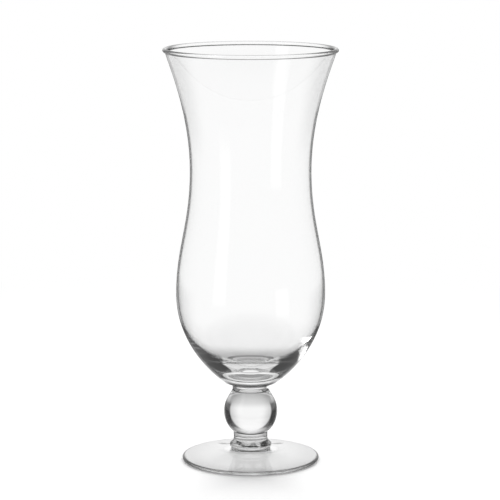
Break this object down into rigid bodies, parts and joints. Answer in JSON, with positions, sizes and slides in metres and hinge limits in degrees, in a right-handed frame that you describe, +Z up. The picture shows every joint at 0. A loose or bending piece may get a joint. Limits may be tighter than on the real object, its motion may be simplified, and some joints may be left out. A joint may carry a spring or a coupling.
{
  "type": "sundae glass",
  "caption": "Clear waisted sundae glass with a flared beaded rim, a heavy rounded base, a ball stem between two short necks and a low round foot.",
  "frame": {"origin": "on the table at the middle of the foot's underside", "axes": "+Z up along the glass's axis of revolution, +X to the right of the viewer, +Y away from the viewer"},
  "size_m": [0.086, 0.086, 0.206],
  "materials": {
    "bowl_glass": "clear, fire polished",
    "stem_glass": "clear, solid, fire polished",
    "foot_glass": "clear, pressed, fire polished"
  },
  "bodies": {
    "root": {"bowl": "bowl_glass", "bowl_collar": "stem_glass", "ball_knop": "stem_glass", "foot_collar": "stem_glass", "foot": "foot_glass"}
  },
  "joints": []
}
